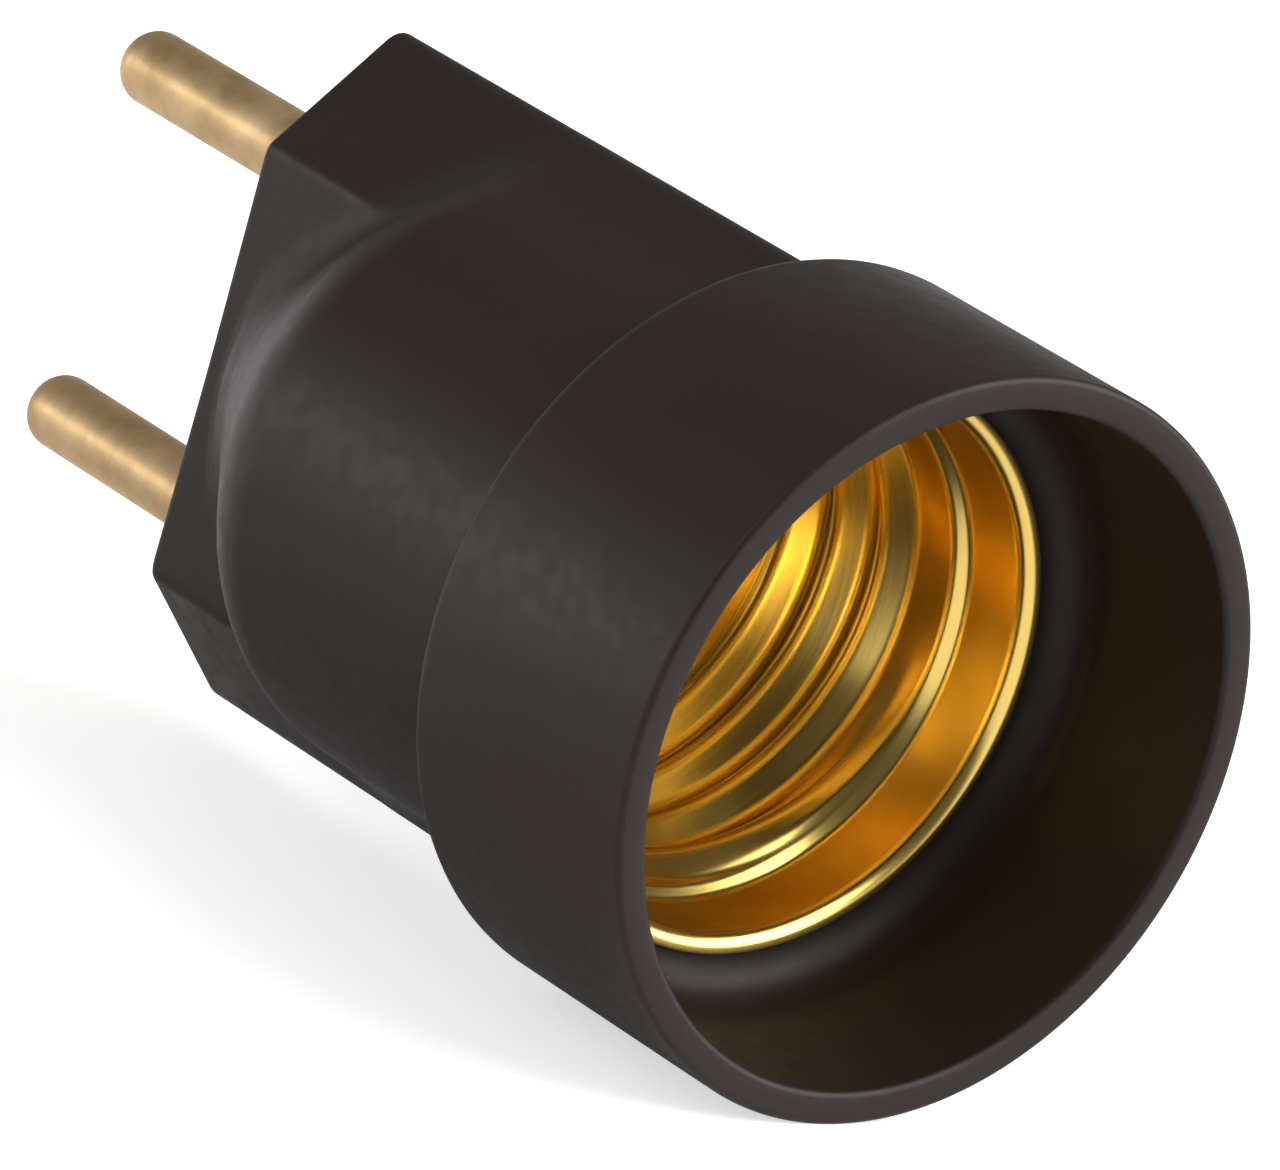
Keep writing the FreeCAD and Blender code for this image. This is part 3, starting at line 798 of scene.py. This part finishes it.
@dataclass
class ScrewShell:
    """The drawn and rolled sheet: flared lip, smooth collar, shoulder, coarse thread and inturned floor.

    Lengths are in millimetres and heights are measured from the cup's mouth.
    """

    steps: int = 240
    sheet: float = 0.45
    bore: float = 13.4
    collar: float = 14.1
    collar_back: float = 1.0
    lip_radius: float = 15.2
    lip_top: float = 11.15
    lip_under: float = 11.6
    lip_bend: float = 0.8
    lip_bend_steps: int = 8
    lip_edge: float = 0.2
    lip_edge_steps: int = 4
    collar_end: float = 15.4
    shoulder_end: float = 15.987
    shoulder_bend: float = 0.28
    shoulder_steps: int = 5
    shoulder_back: float = 0.21
    thread_start: float = 16.9
    thread_turns: float = 3.748
    thread_fade: float = 0.22
    pitch: float = 3.629
    thread_depth: float = 1.1
    flank_degrees: float = 39.5
    clear_before: float = 0.1
    clear_over: float = 0.5
    row_start: float = 0.05
    row_step: float = 0.15
    row_end: float = 0.1
    wall_margin: float = 0.01
    floor_top: float = 33.0
    floor_opening: float = 5.8
    corner: float = 0.6
    corner_steps: int = 6
    sharp_degrees: float = 50.0

    def section(self, away: float) -> float:
        """Measure the thread's round crest, straight flank and round root.

        Args:
            away: The distance along the axis from a crest, up to half the pitch.

        Returns:
            How far the thread stands in there.
        """
        flank = math.radians(self.flank_degrees)
        spare = self.pitch / 2 * math.tan(flank) - self.thread_depth
        bend = spare / (2 * (1 / math.cos(flank) - 1))
        reach = bend * math.sin(flank)
        if away < reach:
            return self.thread_depth - bend + math.sqrt(bend ** 2 - away ** 2)
        rest = self.pitch / 2 - away
        if rest < reach:
            return bend - math.sqrt(bend ** 2 - rest ** 2)
        return bend * (1 - math.cos(flank)) + (rest - reach) * math.tan(flank)

    def wave(self, angle: float, height: float) -> float:
        """Measure the thread where it runs, with its fade at both ends.

        Args:
            angle: The angle from the x axis.
            height: The height from the mouth.

        Returns:
            How far the thread stands in there.
        """
        part = (angle - QUARTER_TURN) / FULL_TURN
        turn = round((height - self.thread_start) / self.pitch - part)
        along = turn + part
        away = abs(height - self.thread_start - along * self.pitch)
        start = ease(along / self.thread_fade)
        end = ease((self.thread_turns - along) / self.thread_fade)
        clear = ease((height - self.shoulder_end + self.clear_before) / self.clear_over)
        return self.section(min(away, self.pitch / 2)) * start * end * clear

    def wall_rows(self) -> List[float]:
        """Space the rows of the threaded wall.

        Returns:
            The rows' heights from the shoulder to the floor's corner.
        """
        rows = []
        height = self.shoulder_end + self.shoulder_bend + self.row_start
        while height < self.floor_top - self.corner - self.row_end:
            rows.append(height)
            height += self.row_step
        return rows

    def inner_outline(self) -> List[Point]:
        """Lay out the sheet's inner face.

        Returns:
            The points from the lip down to the floor's opening.
        """
        points = arc_points((self.lip_radius - self.lip_edge, self.lip_top + self.lip_edge),
                            self.lip_edge, 0.0, -90.0, self.lip_edge_steps)
        points += arc_points((self.collar + self.lip_bend, self.lip_top + self.lip_bend),
                             self.lip_bend, 270.0, 180.0, self.lip_bend_steps)
        collar_start = (self.collar, self.lip_under)
        collar_end = (self.collar, self.collar_end)
        wall_start = (self.bore, self.shoulder_end)
        wall_end = (self.bore, self.floor_top)
        points += soft_corner(collar_start, collar_end, wall_start, self.shoulder_bend, self.shoulder_steps)
        points += soft_corner(collar_end, wall_start, wall_end, self.shoulder_bend, self.shoulder_steps)
        points += [(self.bore, row) for row in self.wall_rows()]
        points += arc_points((self.bore - self.corner, self.floor_top - self.corner),
                             self.corner, 0.0, 90.0, self.corner_steps)
        return points + [(self.floor_opening, self.floor_top)]

    def outer_outline(self) -> List[Point]:
        """Lay out the sheet's outer face.

        Returns:
            The points from the floor's opening back up to the lip.
        """
        points = [(self.floor_opening, self.floor_top + self.sheet)]
        points += arc_points((self.bore - self.corner, self.floor_top - self.corner),
                             self.corner + self.sheet, 90.0, 0.0, self.corner_steps)
        points += [(self.bore + self.sheet, row) for row in reversed(self.wall_rows())]
        points += [(self.bore + self.sheet, self.shoulder_end + self.shoulder_back),
                   (self.collar + self.sheet, self.collar_end + self.shoulder_back),
                   (self.collar + self.sheet, self.collar_end - self.collar_back)]
        points += arc_points((self.collar + self.lip_bend, self.lip_top + self.lip_bend),
                             self.lip_bend - self.sheet, 180.0, 270.0, self.lip_edge_steps)
        return points + [(self.lip_radius, self.lip_under)]

    def build(self, finishes: Finishes) -> bpy.types.Object:
        """Draw the shell as one closed sheet and dress it.

        Args:
            finishes: The holder's finishes.

        Returns:
            The finished piece.
        """
        mesh = bmesh.new()
        spin_outline(mesh, self.inner_outline() + self.outer_outline(), self.steps, closed=True)
        for vert in mesh.verts:
            radius = math.hypot(vert.co.x, vert.co.y)
            on_wall = self.shoulder_end < vert.co.z < self.floor_top - self.corner
            if not on_wall or radius < self.bore - self.wall_margin:
                continue
            angle = math.atan2(vert.co.y, vert.co.x)
            shrunk = radius - self.wave(angle, vert.co.z)
            vert.co.x = shrunk * math.cos(angle)
            vert.co.y = shrunk * math.sin(angle)
        return finish_piece(mesh, "rolled_shell", finishes.shell, self.sharp_degrees)


@dataclass
class PlugPin:
    """A turned pin with its plain stud, flush root and rounded tip, in millimetres."""

    steps: int = 96
    radius: float = 2.0
    length: float = 19.0
    wall_parts: int = 4
    tip_round: float = 1.5
    tip_steps: int = 12
    root_radius: float = 2.4
    root_depth: float = 1.1
    stud_radius: float = 1.25
    stud_start: float = 42.9
    stud_bevel: float = 0.25
    offset: float = 9.5

    def outline(self) -> List[Point]:
        """Lay out the pin's side.

        Returns:
            The points from the stud's end to the tip.
        """
        tip = BODY_LENGTH + self.length
        seat = BODY_LENGTH - self.root_depth
        wall_end = tip - self.tip_round
        points = [(0.0, self.stud_start), (self.stud_radius - self.stud_bevel, self.stud_start),
                  (self.stud_radius, self.stud_start + self.stud_bevel), (self.stud_radius, seat),
                  (self.root_radius, seat), (self.root_radius, BODY_LENGTH), (self.radius, BODY_LENGTH)]
        points += [(self.radius, BODY_LENGTH + step * (wall_end - BODY_LENGTH) / self.wall_parts)
                   for step in range(1, self.wall_parts)]
        points += arc_points((self.radius - self.tip_round, wall_end),
                             self.tip_round, 0.0, 90.0, self.tip_steps)
        return points + [(0.0, tip)]

    def build(self, name: str, side: int, finishes: Finishes) -> bpy.types.Object:
        """Draw one pin on its side of the axis and dress it.

        Args:
            name: The piece's name.
            side: 1 for the upper pin and -1 for the lower one.
            finishes: The holder's finishes.

        Returns:
            The finished piece.
        """
        mesh = bmesh.new()
        spin_outline(mesh, self.outline(), self.steps, closed=False)
        bmesh.ops.translate(mesh, verts=mesh.verts, vec=(side * self.offset, 0.0, 0.0))
        return finish_piece(mesh, name, finishes.pin)


@dataclass
class InnerPieces:
    """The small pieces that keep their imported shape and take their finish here."""

    finishes: Finishes

    def dress(self) -> None:
        """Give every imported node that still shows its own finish."""
        strip, rivet, steel = self.finishes.strip, self.finishes.rivet, self.finishes.steel
        dressed_in: Dict[str, bpy.types.Material] = {
            "contact_carrier": self.finishes.carrier,
            "centre_contact": strip,
            "shell_strap": strip,
            "centre_rivet": rivet,
            "shell_rivet_upper": rivet,
            "shell_rivet_lower": rivet,
            "lock_washer_upper": steel,
            "lock_washer_lower": steel,
            "pin_nut_upper": steel,
            "pin_nut_lower": steel,
            "carrier_screw_left": steel,
            "carrier_screw_right": steel,
        }
        for name, material in dressed_in.items():
            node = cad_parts[name]
            node.data.materials.clear()
            node.data.materials.append(material)
            log.info("%s keeps its shape in %s", name, material.name)


def when_seen(tree: bpy.types.NodeTree, rays: Sequence[str]) -> Socket:
    """Tell rays of the given kinds from all others.

    Args:
        tree: The nodes of the floor or the room.
        rays: Names of the Light Path's outputs.

    Returns:
        A factor of 1 for those rays and 0 for others.
    """
    path = tree.nodes.new("ShaderNodeLightPath")
    socket = path.outputs[rays[0]]
    for ray in rays[1:]:
        larger = tree.nodes.new("ShaderNodeMath")
        larger.operation = "MAXIMUM"
        tree.links.new(socket, larger.inputs[0])
        tree.links.new(path.outputs[ray], larger.inputs[1])
        socket = larger.outputs[0]
    return socket


def scaled_sum(tree: bpy.types.NodeTree, value: Socket, factor: float) -> bpy.types.Node:
    """Scale a value in a node whose third input is added to it.

    Args:
        tree: The nodes that take the new one.
        value: The value to scale.
        factor: What it is multiplied by.

    Returns:
        The new node, which adds 0 until its third input is set.
    """
    node = tree.nodes.new("ShaderNodeMath")
    node.operation = "MULTIPLY_ADD"
    tree.links.new(value, node.inputs[0])
    node.inputs[1].default_value = factor
    node.inputs[2].default_value = 0.0
    return node


def soft_range(tree: bpy.types.NodeTree, value: Socket, start: float, end: float) -> bpy.types.Node:
    """Spread a value smoothly over the range that To Min and To Max give.

    Args:
        tree: The nodes that take the new one.
        value: The value to spread.
        start: Where the result leaves To Min.
        end: Where the result reaches To Max.

    Returns:
        The new node.
    """
    node = tree.nodes.new("ShaderNodeMapRange")
    node.interpolation_type = "SMOOTHSTEP"
    node.inputs["From Min"].default_value = start
    node.inputs["From Max"].default_value = end
    tree.links.new(value, node.inputs["Value"])
    return node


@dataclass(frozen=True)
class FarLamp:
    """A broad far lamp: its direction from the holder, its strength and its width in degrees."""

    name: str
    towards: Triple
    strength: float
    spread: float

    def hang(self) -> None:
        """Put the lamp in the scene, turned to the holder."""
        data = bpy.data.lights.new(self.name, "SUN")
        data.energy = self.strength
        data.angle = math.radians(self.spread)
        lamp = bpy.data.objects.new(self.name, data)
        lamp.location = Vector(self.towards)
        lamp.rotation_mode = "QUATERNION"
        lamp.rotation_quaternion = (-Vector(self.towards)).to_track_quat("-Z", "Y")
        bpy.context.scene.collection.objects.link(lamp)


@dataclass
class Studio:
    """The pale floor, the room, the lamps and the camera of the photograph.

    Lengths are in metres in the row's frame, apart from the lens and the sensor in millimetres.
    The room's bounds are angles in degrees.
    """

    floor_level: float = -0.0193
    floor_reach: float = 6.0
    floor_colour: Tuple[float, float, float, float] = (0.9, 0.9, 0.9, 1.0)
    floor_glow: float = 0.6
    floor_mirrored: float = 0.05
    room_level: float = 0.35
    white_up_to: float = 0.0
    dim_from: float = 10.0
    dim_level: float = 0.36
    dark_side: Triple = (-0.62, -0.66, 0.42)
    dark_within: float = 28.0
    dark_until: float = 62.0
    dark_level: float = 0.10
    camera_place: Triple = (-0.38687, -0.44305, 0.15459)
    camera_right: Triple = (0.75261, -0.60252, 0.26559)
    camera_up: Triple = (-0.02821, 0.37347, 0.92721)
    camera_forward: Triple = (0.65786, 0.70532, -0.26408)
    lens: float = 337.5
    sensor: float = 36.0
    nearest: float = 0.01
    farthest: float = 50.0
    lamps: Tuple[FarLamp, ...] = (
        FarLamp("key_lamp", (0.32, -0.60, 0.74), 1.4, 46.0),
        FarLamp("fill_lamp", (-0.88, 0.08, 0.46), 0.8, 50.0),
        FarLamp("low_lamp", (-0.70, 0.71, 0.04), 0.55, 12.0),
        FarLamp("front_lamp", (0.71, -0.59, 0.40), 2.7, 52.0),
    )

    def set_camera(self) -> None:
        """Place the camera where the photograph was taken from."""
        data = bpy.data.cameras.new("photo_camera")
        data.lens = self.lens
        data.sensor_width = self.sensor
        data.clip_start = self.nearest
        data.clip_end = self.farthest
        camera = bpy.data.objects.new("photo_camera", data)
        axes = (Vector(self.camera_right), Vector(self.camera_up), -Vector(self.camera_forward))
        turn = Matrix(axes).transposed()
        camera.matrix_world = Matrix.Translation(self.camera_place) @ turn.to_4x4()
        bpy.context.scene.collection.objects.link(camera)
        bpy.context.scene.camera = camera

    def floor_material(self) -> bpy.types.Material:
        """Make a pale surface that glows for the eye and a little in metal and glass.

        Returns:
            The new material.
        """
        material = bpy.data.materials.new("pale_floor")
        material.use_nodes = True
        tree = material.node_tree
        shader = tree.nodes["Principled BSDF"]
        shader.inputs["Base Color"].default_value = self.floor_colour
        shader.inputs["Roughness"].default_value = 1.0
        shader.inputs["Specular IOR Level"].default_value = 0.0
        shader.inputs["Emission Color"].default_value = WHITE
        glow = scaled_sum(tree, when_seen(tree, ("Is Camera Ray",)), self.floor_glow)
        seen_in_metal = when_seen(tree, ("Is Glossy Ray", "Is Transmission Ray"))
        mirrored = scaled_sum(tree, seen_in_metal, self.floor_mirrored)
        tree.links.new(glow.outputs[0], mirrored.inputs[2])
        tree.links.new(mirrored.outputs[0], shader.inputs["Emission Strength"])
        return material

    def lay_floor(self) -> None:
        """Lay the floor, which keeps the holder's shadow."""
        mesh = bmesh.new()
        bmesh.ops.create_grid(mesh, x_segments=1, y_segments=1, size=self.floor_reach,
                              matrix=Matrix.Translation((0.0, 0.0, self.floor_level)))
        data = bpy.data.meshes.new("floor")
        mesh.to_mesh(data)
        mesh.free()
        floor = bpy.data.objects.new("floor", data)
        bpy.context.scene.collection.objects.link(floor)
        data.materials.append(self.floor_material())

    def mirrored_strength(self, tree: bpy.types.NodeTree) -> Socket:
        """Set how bright the room is in metal and glass.

        Args:
            tree: The world's nodes.

        Returns:
            A strength of 1 up to the horizon, dimmer above, and least round dark_side.
        """
        direction = tree.nodes.new("ShaderNodeTexCoord").outputs["Generated"]
        height = tree.nodes.new("ShaderNodeSeparateXYZ")
        tree.links.new(direction, height.inputs[0])
        nearness = tree.nodes.new("ShaderNodeVectorMath")
        nearness.operation = "DOT_PRODUCT"
        nearness.inputs[1].default_value = Vector(self.dark_side).normalized()
        tree.links.new(direction, nearness.inputs[0])
        shade = soft_range(tree, nearness.outputs["Value"], math.cos(math.radians(self.dark_until)),
                           math.cos(math.radians(self.dark_within)))
        shade.inputs["To Min"].default_value = self.dim_level
        shade.inputs["To Max"].default_value = self.dark_level
        fall = soft_range(tree, height.outputs["Z"], math.sin(math.radians(self.white_up_to)),
                          math.sin(math.radians(self.dim_from)))
        fall.inputs["To Min"].default_value = 1.0
        tree.links.new(shade.outputs["Result"], fall.inputs["To Max"])
        return fall.outputs["Result"]

    def light_world(self) -> None:
        """Light the room softly, white to the eye and with its own strength in metal and glass."""
        world = bpy.data.worlds.new("soft_room")
        bpy.context.scene.world = world
        world.use_nodes = True
        tree = world.node_tree
        room = tree.nodes["Background"]
        room.inputs["Color"].default_value = WHITE
        room.inputs["Strength"].default_value = self.room_level
        reflected = tree.nodes.new("ShaderNodeBackground")
        reflected.inputs["Color"].default_value = WHITE
        tree.links.new(self.mirrored_strength(tree), reflected.inputs["Strength"])
        white = tree.nodes.new("ShaderNodeBackground")
        white.inputs["Color"].default_value = WHITE
        seen = room
        for rays, background in (
            (("Is Glossy Ray", "Is Transmission Ray"), reflected),
            (("Is Camera Ray",), white),
        ):
            mix = tree.nodes.new("ShaderNodeMixShader")
            tree.links.new(when_seen(tree, rays), mix.inputs["Fac"])
            tree.links.new(seen.outputs[0], mix.inputs[1])
            tree.links.new(background.outputs[0], mix.inputs[2])
            seen = mix
        tree.links.new(seen.outputs[0], tree.nodes["World Output"].inputs["Surface"])

    def set_up(self) -> None:
        """Put the camera, floor, room and lamps in place."""
        self.set_camera()
        self.lay_floor()
        self.light_world()
        for lamp in self.lamps:
            lamp.hang()
        bpy.context.scene.view_settings.view_transform = "Standard"


def main() -> None:
    """Build the holder's pieces in order and set them in the studio."""
    logging.basicConfig(level=logging.INFO, format="%(name)s: %(message)s")
    Studio().set_up()
    finishes = Finishes()
    settle(Housing().build(finishes), "housing")
    settle(ScrewShell().build(finishes), "screw_shell")
    for name, side in (("upper", 1), ("lower", -1)):
        settle(PlugPin().build(f"turned_pin_{name}", side, finishes), f"pin_{name}")
    InnerPieces(finishes).dress()


if __name__ == "__main__":
    main()
